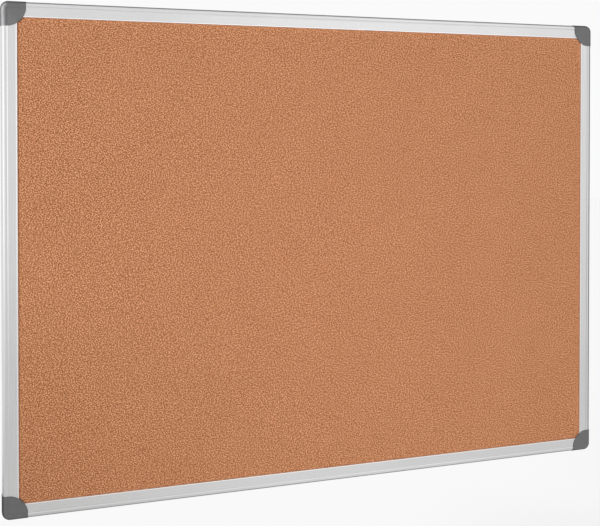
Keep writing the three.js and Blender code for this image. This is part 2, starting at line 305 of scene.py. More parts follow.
# Aluminium: drawing lines along and across the rail, a wide haze, colours, roughness and bump, and the
# lip's painted highlight
DRAWING_LINES = (6, 2600, 1)
ALUMINIUM_HAZE = 14
ALUMINIUM_STOPS = [(0.3, linear(217, 217, 217)), (0.7, linear(225, 225, 225))]
ALUMINIUM_HAZE_SHADES = [(0.3, (0.97, 0.97, 0.97, 1)), (0.7, (1, 1, 1, 1))]
ALUMINIUM_ROUGHNESS = (0.25, 0.31)
ALUMINIUM_BUMP = (0.08, 0.05 * MM)
LIP_PAINTED_HIGHLIGHT = linear(250, 250, 251)


def aluminium_material(lip_middle, lip_half):
    """Satin aluminium, drawn along the rail, with a painted highlight on the lip."""
    material, tree, shader = new_material("satin_aluminium", Metallic=1.0)
    lines = stretched_coordinates(tree, "UV", DRAWING_LINES)
    fine = noise_texture(tree, lines, 1, detail=4)
    cloud = noise_texture(tree, stretched_coordinates(tree, "Object", (1, 1, 1)), ALUMINIUM_HAZE)
    colour = colour_ramp(tree, fine, ALUMINIUM_STOPS)
    haze = colour_ramp(tree, cloud, ALUMINIUM_HAZE_SHADES)
    colour = mix_colour(tree, 1.0, colour, haze, "MULTIPLY")
    unwrapped = add_node(tree, "ShaderNodeSeparateXYZ")
    tree.links.new(stretched_coordinates(tree, "UV", (1, 1, 1)), unwrapped.inputs["Vector"])
    # Painted highlight: the lip's band of the unwrapped section takes a near-white colour
    lip = add_node(tree, "ShaderNodeMath", {1: lip_middle, 2: lip_half}, operation="COMPARE")
    tree.links.new(unwrapped.outputs["Y"], lip.inputs[0])
    colour = mix_colour(tree, lip.outputs[0], colour, LIP_PAINTED_HIGHLIGHT)
    tree.links.new(colour, shader.inputs["Base Color"])
    tree.links.new(range_map(tree, fine, *ALUMINIUM_ROUGHNESS), shader.inputs["Roughness"])
    add_bump(tree, shader, fine, *ALUMINIUM_BUMP)
    return material


# Moulded plastic: textures in features per metre, variation of gloss, bump, and where a side, darkened
# by painted shade, begins
SPARK_TEXTURE = 1500
PLASTIC_CLOUD = 60
GLOSS_VARIATION = 0.06
SPARK_BUMP = (0.12, 0.12 * MM)
PAINTED_SIDE_SHADE_FACING = 0.5
FRONT_FACING = 0.78


def moulded_material(name, dark, light, roughness, painted_side_shade):
    """Moulded plastic with a fine spark-eroded texture, and painted shade darkening the sides of a
    moulding.
    """
    material, tree, shader = new_material(name, Specular_IOR_Level=0.5)
    place = stretched_coordinates(tree, "Object", (1, 1, 1))
    texture = noise_texture(tree, place, SPARK_TEXTURE, detail=2)
    cloud = noise_texture(tree, place, PLASTIC_CLOUD)
    colour = colour_ramp(tree, cloud, [(0.3, dark), (0.7, light)])
    # Painted shade: the base colour darkens where the surface turns away from the front, on the sides
    facing = add_node(tree, "ShaderNodeSeparateXYZ")
    normal = add_node(tree, "ShaderNodeNewGeometry").outputs["Normal"]
    tree.links.new(normal, facing.inputs["Vector"])
    frontal = add_node(tree, "ShaderNodeMath", operation="ABSOLUTE")
    tree.links.new(facing.outputs["Y"], frontal.inputs[0])
    stops = [(PAINTED_SIDE_SHADE_FACING, (painted_side_shade, painted_side_shade, painted_side_shade, 1)), (FRONT_FACING, (1, 1, 1, 1))]
    shade = colour_ramp(tree, frontal.outputs[0], stops)
    colour = mix_colour(tree, 1.0, colour, shade, "MULTIPLY")
    tree.links.new(colour, shader.inputs["Base Color"])
    gloss = range_map(tree, texture, roughness - GLOSS_VARIATION, roughness + GLOSS_VARIATION)
    tree.links.new(gloss, shader.inputs["Roughness"])
    add_bump(tree, shader, texture, *SPARK_BUMP)
    return material


# Fibre: the ways in which fibres are drawn out, how they mix, and the specks among them
FIBRE_STRETCHES = ((1, 1, 0.12), (0.12, 1, 1), (0.6, 1, 0.3))
CROSSED_SHARE = 0.5
SLANTED_SHARE = 0.35
FIBRE_PLACES = (0.32, 0.5, 0.68)
FIBRE_DEPTH = 0.25 * MM
FLECK_SCALE = 0.6
FLECK_SHARE = [(0.93, (0, 0, 0, 1)), (0.96, (0.4, 0.4, 0.4, 1))]


def fibre_material(name, dark, middle, light, fibre_scale, strength):
    """Pressed wood fibre or kraft paper, with fibres lying every way."""
    material, tree, shader = new_material(name, Roughness=0.9, Specular_IOR_Level=0.2)
    heights = []
    for scale in FIBRE_STRETCHES:
        place = stretched_coordinates(tree, "Object", scale)
        heights.append(noise_texture(tree, place, fibre_scale, detail=5, roughness=0.65))
    crossed = mix_colour(tree, CROSSED_SHARE, heights[0], heights[1])
    crossed = mix_colour(tree, SLANTED_SHARE, crossed, heights[2])
    colour = colour_ramp(tree, crossed, list(zip(FIBRE_PLACES, (dark, middle, light))))
    place = stretched_coordinates(tree, "Object", (1, 1, 1))
    flecks = voronoi_texture(tree, place, fibre_scale * FLECK_SCALE)
    fleck_mask = colour_ramp(tree, random_of(tree, flecks), FLECK_SHARE)
    colour = mix_colour(tree, fleck_mask, colour, dark)
    tree.links.new(colour, shader.inputs["Base Color"])
    add_bump(tree, shader, crossed, strength, FIBRE_DEPTH)
    return material


# Zinc plate: spangles per metre, colours, roughness and bump
ZINC_SPANGLE = 900
ZINC_STOPS = [(0.3, linear(176, 178, 180)), (0.7, linear(206, 208, 211))]
ZINC_ROUGHNESS = (0.25, 0.42)
ZINC_BUMP = (0.1, 0.05 * MM)


def zinc_material():
    """Bright zinc plate with a fine spangle."""
    material, tree, shader = new_material("zinc_plate", Metallic=1.0)
    place = stretched_coordinates(tree, "Object", (1, 1, 1))
    spangle = noise_texture(tree, place, ZINC_SPANGLE, detail=4)
    colour = colour_ramp(tree, spangle, ZINC_STOPS)
    tree.links.new(colour, shader.inputs["Base Color"])
    tree.links.new(range_map(tree, spangle, *ZINC_ROUGHNESS), shader.inputs["Roughness"])
    add_bump(tree, shader, spangle, *ZINC_BUMP)
    return material


CORK = cork_material()
# The last value of each moulding is the painted shade on its sides
CAP_PLASTIC = moulded_material(
    "cap_plastic", linear(101, 101, 102), linear(106, 106, 107), roughness=0.42, painted_side_shade=0.15
)
BRACKET_PLASTIC = moulded_material(
    "bracket_plastic", linear(54, 55, 57), linear(62, 63, 65), roughness=0.55, painted_side_shade=0.8
)
FIBREBOARD = fibre_material(
    "fibreboard",
    linear(118, 98, 74),
    linear(146, 125, 98),
    linear(168, 148, 120),
    fibre_scale=420,
    strength=0.5,
)
LINER = fibre_material(
    "kraft_liner",
    linear(160, 134, 98),
    linear(182, 156, 119),
    linear(198, 174, 138),
    fibre_scale=300,
    strength=0.2,
)
ZINC = zinc_material()


# Meshes


def rounded_outline(corners):
    """Points of a closed outline through (x, y, radius) corners, each rounded by its radius."""
    points = []
    for index, (x, y, radius) in enumerate(corners):
        here = Vector((x, y))
        if radius == 0:
            points.append(here)
            continue
        before = (Vector(corners[index - 1][:2]) - here).normalized()
        after = (Vector(corners[(index + 1) % len(corners)][:2]) - here).normalized()
        opening = before.angle(after)
        centre = here + (before + after).normalized() * (radius / math.sin(opening / 2))
        spoke = here + before * (radius / math.tan(opening / 2)) - centre
        turn = math.copysign(math.pi - opening, before.cross(after))
        steps = max(2, round(abs(turn) / ARC_STEP))
        for step in range(steps + 1):
            points.append(centre + Matrix.Rotation(-turn * step / steps, 2) @ spoke)
    return points


def circle(x, y, radius, sides=CIRCLE_SIDES):
    angles = [2 * math.pi * side / sides for side in range(sides)]
    return [Vector((x + radius * math.cos(angle), y + radius * math.sin(angle))) for angle in angles]


def distinct_corners(corners):
    """A face's corners without those that repeat the one before."""
    return [corner for place, corner in enumerate(corners) if corner is not corners[place - 1]]


def mesh_of(shape, name):
    """A mesh from a shape that is done with."""
    mesh = bpy.data.meshes.new(name)
    shape.to_mesh(mesh)
    shape.free()
    return mesh


def finish_mesh(mesh, material):
    """Smooth shading between gentle edges, and the material."""
    mesh.materials.append(material)
    mesh.polygons.foreach_set("use_smooth", [True] * len(mesh.polygons))
    mesh.set_sharp_from_angle(angle=SMOOTH_ANGLE)
    mesh.update()


def add_object(name, data):
    added = bpy.data.objects.new(name, data)
    bpy.context.scene.collection.objects.link(added)
    return added


def add_piece(name, mesh, body, nodes=()):
    piece = add_object(name, mesh)
    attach(piece, body)
    if nodes:
        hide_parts(*nodes)
    return piece


def weigh_normals(piece):
    modifier = piece.modifiers.new("normals", "WEIGHTED_NORMAL")
    modifier.keep_sharp = True


# Rails


def rail_outlines():
    """Outer outline and chamber of the rail's section, in (inset, rise)."""
    groove_low = GROOVE_START + GROOVE_STEEP
    outer = rounded_outline([
        (0, 0, DIE_ROUND),
        (RAIL_WALL, 0, DIE_ROUND),
        (RAIL_WALL, BACK_CHANNEL, DIE_ROUND),
        (CHAMBER_END, BACK_CHANNEL, DIE_ROUND),
        (CHAMBER_END, 0, DIE_ROUND),
        (SLOT_FLOOR, 0, DIE_ROUND),
        (SLOT_FLOOR, FLANGE_BACK, DIE_ROUND),
        (FLANGE_END, FLANGE_BACK, DIE_ROUND),
        (FLANGE_END, FLANGE_FRONT, DIE_ROUND),
        (SLOT_FLOOR, FLANGE_FRONT, DIE_ROUND),
        (SLOT_FLOOR, LIP_FOOT, DIE_ROUND),
        (RAIL_FACE, LIP_FOOT, DIE_ROUND),
        (RAIL_FACE, RAIL_DEPTH, LIP_ROUND),
        (LIP_START + LIP_FLANK / 2, RAIL_DEPTH, LIP_ROUND),
        (LIP_START - LIP_FLANK / 2, BAND_RISE, DIE_ROUND),
        (GROOVE_END, BAND_RISE, DIE_ROUND),
        (groove_low + GROOVE_FLOOR, BAND_RISE - GROOVE_DEPTH, DIE_ROUND / 2),
        (groove_low, BAND_RISE - GROOVE_DEPTH, DIE_ROUND / 2),
        (GROOVE_START, BAND_RISE, DIE_ROUND),
        (0, BAND_RISE, EDGE_ROUND),
    ])
    chamber = rounded_outline([
        (RAIL_WALL, CHAMBER_FLOOR, DIE_ROUND),
        (CHAMBER_END, CHAMBER_FLOOR, DIE_ROUND),
        (CHAMBER_END, BAND_RISE - RAIL_WALL, DIE_ROUND),
        (RAIL_WALL, BAND_RISE - RAIL_WALL, EDGE_ROUND - RAIL_WALL),
    ])
    return outer, chamber


def lip_span():
    """Middle and half width of the lip in the unwrapped section."""
    outline, _ = rail_outlines()
    run = 0
    runs = []
    for point, following in zip(outline, outline[1:]):
        if min(point.y, following.y) > BAND_RISE + LIP_MARGIN:
            runs += [run, run + (following - point).length]
        run += (following - point).length
    return (runs[0] + runs[-1]) / 2, (runs[-1] - runs[0]) / 2


def rail_mesh(name, half_length, to_frame, material):
    """An extruded rail; to_frame turns (along, inset, rise) into the frame."""
    shape = bmesh.new()
    unwrapped = shape.loops.layers.uv.new("extrusion")
    end_edges = {-1: [], 1: []}
    for outline in rail_outlines():
        rings = {}
        for end in (-1, 1):
            corners = [to_frame @ Vector((end * half_length, *point)) for point in outline]
            rings[end] = [shape.verts.new(corner) for corner in corners]
        run = 0
        for index, point in enumerate(outline):
            following = (index + 1) % len(outline)
            width = (outline[following] - point).length
            corners = [
                (rings[-1][index], -half_length, run),
                (rings[1][index], half_length, run),
                (rings[1][following], half_length, run + width),
                (rings[-1][following], -half_length, run + width),
            ]
            face = shape.faces.new([corner[0] for corner in corners])
            for loop, (_, along, across) in zip(face.loops, corners):
                loop[unwrapped].uv = (along, across)
            run += width
            for end in (-1, 1):
                end_edges[end].append(shape.edges.get((rings[end][index], rings[end][following])))
    for edges in end_edges.values():
        bmesh.ops.triangle_fill(shape, edges=edges, use_beauty=True)
    bmesh.ops.recalc_face_normals(shape, faces=shape.faces)
    mesh = mesh_of(shape, name)
    finish_mesh(mesh, material)
    return mesh


def make_rails():
    forwards = Vector((0, -1, 0))
    sides = {
        "top": (Vector((1, 0, 0)), Vector((0, 0, -1)), HALF_WIDTH, HALF_HEIGHT),
        "right": (Vector((0, 0, 1)), Vector((-1, 0, 0)), HALF_HEIGHT, HALF_WIDTH),
        "bottom": (Vector((1, 0, 0)), Vector((0, 0, 1)), HALF_WIDTH, HALF_HEIGHT),
        "left": (Vector((0, 0, 1)), Vector((1, 0, 0)), HALF_HEIGHT, HALF_WIDTH),
    }
    material = aluminium_material(*lip_span())
    for side, (along, inwards, half_run, from_middle) in sides.items():
        to_frame = Matrix((along, inwards, forwards)).transposed().to_4x4()
        to_frame.translation = -inwards * from_middle
        mesh = rail_mesh(f"{side}_extrusion", half_run - RAIL_END, to_frame, material)
        rail = add_piece(f"{side}_extrusion", mesh, "board", [f"{side}_rail"])
        weigh_normals(rail)


# Panel


def sheet_mesh(name, node, cell, relief, grain, material, seed):
    """A sheet in a node's place, with a soft relief on its front and back and eased edges."""
    low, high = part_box(node)
    columns = round((high.x - low.x) / cell)
    rows = round((high.z - low.z) / cell)
    ease = min(SHEET_EASE_SHARE * (high.y - low.y), SHEET_EASE)
    shape = bmesh.new()
    sides = {}
    for side, (y, outwards) in {"front": (low.y, -1), "back": (high.y, 1)}.items():
        grid = []
        for row in range(rows + 1):
            line = []
            for column in range(columns + 1):
                x = low.x + (high.x - low.x) * column / columns
                z = low.z + (high.z - low.z) * row / rows
                edge = row in (0, rows) or column in (0, columns)
                place = Vector((x * grain, seed + outwards, z * grain))
                sink = ease if edge else relief * (0.5 + 0.5 * noise.noise(place))
                line.append(shape.verts.new((x, y - outwards * sink, z)))
            grid.append(line)
        for row in range(rows):
            for column in range(columns):
                corners = [
                    grid[row][column],
                    grid[row][column + 1],
                    grid[row + 1][column + 1],
                    grid[row + 1][column],
                ]
                shape.faces.new(corners if side == "front" else corners[::-1])
        border = grid[0][:]
        border += [line[-1] for line in grid[1:]]
        border += grid[-1][-2::-1]
        border += [line[0] for line in grid[-2:0:-1]]
        sides[side] = border
    for index in range(len(sides["front"])):
        following = (index + 1) % len(sides["front"])
        shape.faces.new((
            sides["front"][following],
            sides["front"][index],
            sides["back"][index],
            sides["back"][following],
        ))
    bmesh.ops.recalc_face_normals(shape, faces=shape.faces)
    mesh = mesh_of(shape, name)
    finish_mesh(mesh, material)
    return mesh


def make_panel():
    # Name, node, width of a mesh cell, depth of relief, relief in features per metre, material and slot
    layers = [
        ("cork_face", "cork_sheet", 6 * MM, 0.05 * MM, 160, CORK, "cork"),
        ("fibreboard_core", "core_board", 24 * MM, 0.1 * MM, 60, FIBREBOARD, "fibreboard"),
        ("back_liner", "backing_sheet", 16 * MM, 0.1 * MM, 12, LINER, "liner"),
    ]
    for seed, (name, node, cell, relief, grain, material, slot) in enumerate(layers):
        mesh = sheet_mesh(name, node, cell, relief, grain, material, seed * SHEET_SEED_STEP)
        add_piece(name, mesh, "board", [node])


# Corners


def corner_to_frame(across, up):
    """Turns (along, inset, rise) at a corner into the frame; across and up are -1 or 1."""
    matrix = Matrix(((-across, 0, 0), (0, 0, -1), (0, -up, 0))).to_4x4()
    matrix.translation = (across * HALF_WIDTH, 0, up * HALF_HEIGHT)
    return matrix


def add_corner_piece(name, mesh, to_frame, material, body, nodes=()):
    """Turns a mesh from corner coordinates into the frame and adds it as a piece."""
    mesh.transform(to_frame)
    if to_frame.determinant() < 0:
        mesh.flip_normals()
    mesh.update()
    finish_mesh(mesh, material)
    return add_piece(name, mesh, body, nodes)


def cap_arc():
    """Centre and radius of the arched inner edge of a cap."""
    half_chord = (CAP_REACH + CAP_PROUD) / math.sqrt(2)
    bulge = (CAP_CORNER - (CAP_REACH - CAP_PROUD) / 2) * math.sqrt(2)
    radius = (half_chord**2 + bulge**2) / (2 * bulge)
    return CAP_CORNER - radius / math.sqrt(2), radius


ARC_CENTRE, ARC_RADIUS = cap_arc()


def blended_minimum(first, second, width):
    overlap = max(width - abs(first - second), 0) / width
    return min(first, second) - overlap**2 * width / 4


def cap_rise(along, inset):
    """Rise of a cap's outer surface: the rail's form carried round the corner."""
    to_centre = (CORNER_ROUND - along, CORNER_ROUND - inset)
    if min(to_centre) > 0:
        inwards = CORNER_ROUND + CAP_PROUD - math.hypot(*to_centre)
    else:
        inwards = min(along, inset) + CAP_PROUD
    rise = BAND_RISE + CAP_PROUD
    edge = EDGE_ROUND + CAP_PROUD
    if inwards < edge:
        rise -= edge - math.sqrt(max(edge**2 - (edge - inwards) ** 2, 0))
    groove_half = (GROOVE_END - GROOVE_START) / 2
    from_groove = abs(inwards - CAP_PROUD - GROOVE_START - groove_half)
    if from_groove < groove_half:
        rise -= CAP_GROOVE_DEPTH * math.cos(math.pi / 2 * from_groove / groove_half) ** 2
    climbed = (blended_minimum(along, inset, CAP_MITRE_BLEND) - GROOVE_END) / (LIP_START - GROOVE_END)
    rise += (RAIL_DEPTH - BAND_RISE) * min(max(climbed, 0), 1)
    from_arch = ARC_RADIUS - math.hypot(along - ARC_CENTRE, inset - ARC_CENTRE)
    from_rim = min(from_arch, CAP_REACH - max(along, inset))
    if from_rim < CAP_RIM:
        rise -= CAP_RIM - math.sqrt(max(CAP_RIM**2 - (CAP_RIM - max(from_rim, 0)) ** 2, 0))
    return rise


def cap_rays():
    """Lines from a cap's outer edge inwards: start, direction, length, and whether the arch ends it."""
    rays = []
    corner_steps = 10
    mitre_degrees = 225
    side_degrees = 270
    for step in range(corner_steps + 1):
        degrees = mitre_degrees + (side_degrees - mitre_degrees) * step / corner_steps
        angle = math.radians(degrees)
        outwards = Vector((math.cos(angle), math.sin(angle)))
        start = Vector((CORNER_ROUND, CORNER_ROUND)) + outwards * (CORNER_ROUND + CAP_PROUD)
        rays.append((start, -outwards, CORNER_ROUND + CAP_PROUD, False))
    inner_steps = 14
    for step in range(1, inner_steps):
        along = CORNER_ROUND + (CAP_CORNER - CORNER_ROUND) * step / inner_steps
        rays.append((Vector((along, -CAP_PROUD)), Vector((0, 1)), along + CAP_PROUD, False))
    arch_steps = 14
    arch_run = CAP_REACH - CAP_RIM - CAP_CORNER
    runs = [CAP_CORNER + arch_run * step / arch_steps for step in range(arch_steps)]
    runs += [CAP_REACH - CAP_RIM * step for step in CAP_RIM_STEPS]
    for along in runs:
        height = math.sqrt(max(ARC_RADIUS**2 - (along - ARC_CENTRE) ** 2, 0))
        rays.append((Vector((along, -CAP_PROUD)), Vector((0, 1)), ARC_CENTRE + height + CAP_PROUD, True))
    return rays


def cap_stations():
    """Distances inwards at which a cap's surface is sampled."""
    edge = EDGE_ROUND + CAP_PROUD
    steps = 9
    stations = [edge * (1 - math.cos(math.pi / 2 * step / steps)) for step in range(steps + 1)]
    groove_steps = 8
    for step in range(groove_steps + 1):
        stations.append(CAP_PROUD + GROOVE_START + (GROOVE_END - GROOVE_START) * step / groove_steps)
    slope_steps = 10
    far = CAP_CORNER + CAP_PROUD
    near = GROOVE_END + CAP_PROUD
    stations += [near + (far - near) * step / slope_steps for step in range(1, slope_steps + 1)]
    return stations


def cap_points(start, direction, length, arched):
    """Points of the cap's surface along one line, from the foot of its side to the arch or the mitre."""
    foot = Vector((*start, CAP_FOOT))
    if arched:
        height = math.sqrt(max((ARC_RADIUS - CAP_RIM) ** 2 - (start.x - ARC_CENTRE) ** 2, 0))
        rim_start = min(ARC_CENTRE + height + CAP_PROUD, length) if height else length - CAP_RIM
        shorten = [(length - rim_start) * part for part in CAP_RIM_STEPS]
    else:
        shorten = [0] * len(CAP_RIM_STEPS)
    last = length - shorten[0]
    distances = [min(station, last) for station in cap_stations()]
    distances += [length - part for part in shorten]
    points = [foot]
    for distance in distances:
        place = start + direction * distance
        points.append(Vector((*place, cap_rise(*place))))
    drop = Vector((0, 0, CAP_RIM_WALL if arched else 0))
    points.append(points[-1] - drop)
    return points


def cap_mesh(name):
    """The outer surface of a cap, in corner coordinates."""
    shape = bmesh.new()
    known = {}

    def vertex(point):
        key = tuple(round(value / MM, WELD_DIGITS) for value in point)
        if key not in known:
            known[key] = shape.verts.new(point)
        return known[key]

    half = [cap_points(*ray) for ray in cap_rays()]
    mirrored = [[Vector((point.y, point.x, point.z)) for point in line] for line in half]
    for lines, turned in ((half, False), (mirrored, True)):
        for line, following in zip(lines, lines[1:]):
            for index in range(len(line) - 1):
                corners = [line[index], following[index], following[index + 1], line[index + 1]]
                corners = [vertex(corner) for corner in (corners[::-1] if turned else corners)]
                distinct = distinct_corners(corners)
                if len(set(distinct)) == len(distinct) >= 3 and not shape.faces.get(distinct):
                    shape.faces.new(distinct)
    return mesh_of(shape, name)


def lathe_mesh(name, profile, sides):
    """A turned form about the rise axis, from (radius, rise) points."""
    shape = bmesh.new()
    rings = []
    for radius, rise in profile:
        if radius == 0:
            rings.append([shape.verts.new((0, 0, rise))] * sides)
            continue
        ring = [shape.verts.new((*point, rise)) for point in circle(0, 0, radius, sides)]
        rings.append(ring)
    for ring, following in zip(rings, rings[1:]):
        for index in range(sides):
            after = (index + 1) % sides
            corners = [ring[index], ring[after], following[after], following[index]]
            shape.faces.new(distinct_corners(corners))
    bmesh.ops.recalc_face_normals(shape, faces=shape.faces)
    return mesh_of(shape, name)


def plate_mesh(name, outlines, low, high, bevel):
    """A plate between two rises from an outline and the outlines of its holes, with eased edges."""
    curve = bpy.data.curves.new(name, "CURVE")
    curve.dimensions = "2D"
    curve.fill_mode = "BOTH"
    curve.extrude = (high - low) / 2 - bevel
    curve.bevel_depth = bevel
    curve.bevel_resolution = BEVEL_STEPS
    curve.offset = -bevel
    for outline in outlines:
        spline = curve.splines.new("POLY")
        spline.points.add(len(outline) - 1)
        for point, place in zip(spline.points, outline):
            point.co = (*place, 0, 1)
        spline.use_cyclic_u = True
    holder = add_object(name, curve)
    graph = bpy.context.evaluated_depsgraph_get()
    mesh = bpy.data.meshes.new_from_object(holder.evaluated_get(graph))
    bpy.data.objects.remove(holder)
    bpy.data.curves.remove(curve)
    mesh.transform(Matrix.Translation((0, 0, (low + high) / 2)))
    return mesh


def joined_mesh(name, meshes):
    shape = bmesh.new()
    for mesh in meshes:
        shape.from_mesh(mesh)
        bpy.data.meshes.remove(mesh)
    bmesh.ops.remove_doubles(shape, verts=shape.verts, dist=WELD_DISTANCE)
    return mesh_of(shape, name)


def swapped(points):
    """The same outline seen from the other rail."""
    return [Vector((point.y, point.x)) for point in points][::-1]


def peg_mesh(name):
    """The two pegs under a cap, each with a boss and a rounded tip."""
    profile = [(0, PEG_TIP)]
    for step in range(PEG_TIP_STEPS + 1):
        angle = math.pi / 2 * step / PEG_TIP_STEPS
        radius = PEG_RADIUS - PEG_TIP_ROUND + PEG_TIP_ROUND * math.sin(angle)
        profile.append((radius, PEG_TIP + PEG_TIP_ROUND * (1 - math.cos(angle))))
    profile += [
        (PEG_RADIUS, BOSS_FOOT),
        (BOSS_RADIUS - MOULD_ROUND, BOSS_FOOT),
        (BOSS_RADIUS, BOSS_FOOT + MOULD_ROUND),
        (BOSS_RADIUS, PEG_ROOF),
        (0, PEG_ROOF),
    ]
    pegs = []
    for place in ((PEG_ALONG, PEG_INSET), (PEG_INSET, PEG_ALONG)):
        peg = lathe_mesh(name, profile, PEG_SIDES)
        peg.transform(Matrix.Translation((*place, 0)))
        pegs.append(peg)
    return joined_mesh(name, pegs)


def bracket_mesh(name):
    """A corner bracket: a block with its holes, and the two tongues that fill the rails."""
    block = rounded_outline([
        (0, 0, CORNER_ROUND),
        (ARM_END, 0, MOULD_ROUND),
        (ARM_END, ARM_WIDTH, MOULD_ROUND),
        (ARM_WIDTH, ARM_WIDTH, MOULD_ROUND),
        (ARM_WIDTH, ARM_END, MOULD_ROUND),
        (0, ARM_END, MOULD_ROUND),
    ])
    sockets = [
        circle(PEG_ALONG, PEG_INSET, SOCKET_RADIUS),
        circle(PEG_INSET, PEG_ALONG, SOCKET_RADIUS),
    ]
    hole = circle(WALL_HOLE_INSET, WALL_HOLE_INSET, WALL_HOLE_RADIUS)
    recess = circle(WALL_HOLE_INSET, WALL_HOLE_INSET, HEAD_RECESS_RADIUS)
    tongue = rounded_outline([
        (ARM_END - TONGUE_ROOT, TONGUE_LOW, 0),
        (TONGUE_TIP - TONGUE_CHAMFER, TONGUE_LOW, MOULD_ROUND),
        (TONGUE_TIP, TONGUE_LOW + TONGUE_CHAMFER, MOULD_ROUND),
        (TONGUE_TIP, TONGUE_HIGH - TONGUE_CHAMFER, MOULD_ROUND),
        (TONGUE_TIP - TONGUE_CHAMFER, TONGUE_HIGH, MOULD_ROUND),
        (ARM_END - TONGUE_ROOT, TONGUE_HIGH, 0),
    ])
    plates = [
        plate_mesh(name, [block, hole], 0, HEAD_SEAT, MOULD_ROUND / 2),
        plate_mesh(name, [block, recess, *sockets], HEAD_SEAT, BRACKET_FRONT, MOULD_ROUND / 2),
    ]
    for outline in (tongue, swapped(tongue)):
        plates.append(plate_mesh(name, [outline], TONGUE_BACK, TONGUE_FRONT, MOULD_ROUND / 2))
    return joined_mesh(name, plates)


def screw_mesh(name):
    """A pan-head screw: a crossed head at the back, and a threaded shank that ends in a point."""
    span = SCREW_DRIVE_HALF_SPAN
    width = SCREW_DRIVE_HALF_WIDTH
    cross = []
    for turn in range(4):
        quarter = Matrix.Rotation(turn * math.pi / 2, 2)
        cross += [quarter @ Vector(corner) for corner in ((span, -width), (span, width), (width, width))]
    disc = circle(0, 0, SCREW_HEAD_RADIUS)
    drive_floor = SCREW_HEAD_BACK + SCREW_DRIVE_DEPTH
    head = plate_mesh(name, [disc, cross], SCREW_HEAD_BACK, drive_floor, MOULD_ROUND / 2)
    profile = [
        (0, drive_floor),
        (SCREW_HEAD_RADIUS, drive_floor),
        (SCREW_HEAD_RADIUS, SCREW_HEAD_FRONT),
        (SCREW_RADIUS, SCREW_HEAD_FRONT),
    ]
    rise = SCREW_HEAD_FRONT + THREAD_PITCH
    core = SCREW_RADIUS - THREAD_HEIGHT
    while rise < SCREW_TIP - SCREW_POINT:
        profile.append((core, rise))
        profile.append((SCREW_RADIUS, rise + THREAD_PITCH * THREAD_CREST))
        profile.append((core, rise + THREAD_PITCH * THREAD_FOOT))
        rise += THREAD_PITCH
    profile.append((0, SCREW_TIP))
    return joined_mesh(name, [head, lathe_mesh(name, profile, CIRCLE_SIDES)])


def make_corners():
    for corner, signs in CORNERS.items():
        to_frame = corner_to_frame(*signs)
        cap_body = f"cap_{corner}"

        name = f"cap_shell_{corner}"
        nodes = [f"corner_cap_{corner}"]
        cap = add_corner_piece(
            name, cap_mesh(name), to_frame, CAP_PLASTIC, cap_body, nodes
        )
        shell = cap.modifiers.new("wall", "SOLIDIFY")
        shell.thickness = CAP_WALL
        shell.offset = -1
        weigh_normals(cap)

        name = f"cap_pegs_{corner}"
        add_corner_piece(name, peg_mesh(name), to_frame, CAP_PLASTIC, cap_body)

        name = f"bracket_{corner}"
        nodes = [f"corner_bracket_{corner}"]
        bracket = add_corner_piece(
            name, bracket_mesh(name), to_frame, BRACKET_PLASTIC, "board", nodes
        )
        weigh_normals(bracket)

        places = {"a": (SCREW_ALONG, SCREW_INSET), "b": (SCREW_INSET, SCREW_ALONG)}
        for letter, place in places.items():
            name = f"back_screw_{corner}_{letter}"
            mesh = screw_mesh(name)
            mesh.transform(Matrix.Translation((*place, 0)))
            nodes = [f"bracket_screw_{corner}_{letter}"]
            add_corner_piece(name, mesh, to_frame, ZINC, "board", nodes)


# Stage


def seen_directly(tree):
    """1 for rays from the camera or a mirror or through glass, and 0 for light that bounces."""
    path = add_node(tree, "ShaderNodeLightPath")
    total = path.outputs["Is Camera Ray"]
    for name in ("Is Glossy Ray", "Is Transmission Ray"):
        add = add_node(tree, "ShaderNodeMath", operation="ADD", use_clamp=True)
        tree.links.new(total, add.inputs[0])
        tree.links.new(path.outputs[name], add.inputs[1])
        total = add.outputs[0]
    return total


BACKDROP = linear(250, 250, 250)
FILL = 0.05


def make_world():
    """A white backdrop that gives only a weak fill light."""
    world = bpy.data.worlds.new("studio")
    bpy.context.scene.world = world
    world.use_nodes = True
    tree = world.node_tree
    tree.nodes.clear()
    fill = add_node(tree, "ShaderNodeBackground", {"Color": (1, 1, 1, 1), "Strength": FILL})
    white = add_node(tree, "ShaderNodeBackground", {"Color": BACKDROP, "Strength": 1.0})
    mix = add_node(tree, "ShaderNodeMixShader")
    output = add_node(tree, "ShaderNodeOutputWorld")
    tree.links.new(seen_directly(tree), mix.inputs["Fac"])
    tree.links.new(fill.outputs[0], mix.inputs[1])
    tree.links.new(white.outputs[0], mix.inputs[2])
    tree.links.new(mix.outputs[0], output.inputs["Surface"])


# Floor and its soft patches of painted shade: middle in X and Y, depth, and half widths of the full part
# and the whole
FLOOR_RISE = -0.8
FLOOR_HALF = 12
FLOOR_COLOUR = linear(240, 240, 240)
FLOOR_WHITE = 0.98
PAINTED_SHADE_LENGTH = 2.5
PAINTED_FLOOR_SHADES = [
    (-0.7, -2.0, 0.46, 0.1, 1.15),
    (1.75, -1.6, 0.28, 0.15, 1.3),
    (-1.75, -1.2, 0.4, 0.1, 1.0),
    (-0.5, -0.4, 0.15, 0.05, 0.5),
    (0.75, -0.4, 0.15, 0.05, 0.5),
]


def painted_floor_shade(tree, position, x, y, depth, inner, outer):
    """A soft patch of painted shade on the floor, longer towards the front than it is wide."""
    squeeze = (1, 1 / PAINTED_SHADE_LENGTH, 1)
    place = add_node(tree, "ShaderNodeVectorMath", {1: squeeze}, operation="MULTIPLY")
    tree.links.new(position, place.inputs[0])
    middle = (x, y / PAINTED_SHADE_LENGTH, FLOOR_RISE)
    away = add_node(tree, "ShaderNodeVectorMath", {1: middle}, operation="DISTANCE")
    tree.links.new(place.outputs["Vector"], away.inputs[0])
    values = {"From Min": inner, "From Max": outer, "To Min": depth, "To Max": 0.0}
    fade = add_node(tree, "ShaderNodeMapRange", values, interpolation_type="SMOOTHSTEP")
    tree.links.new(away.outputs["Value"], fade.inputs["Value"])
    return fade.outputs["Result"]


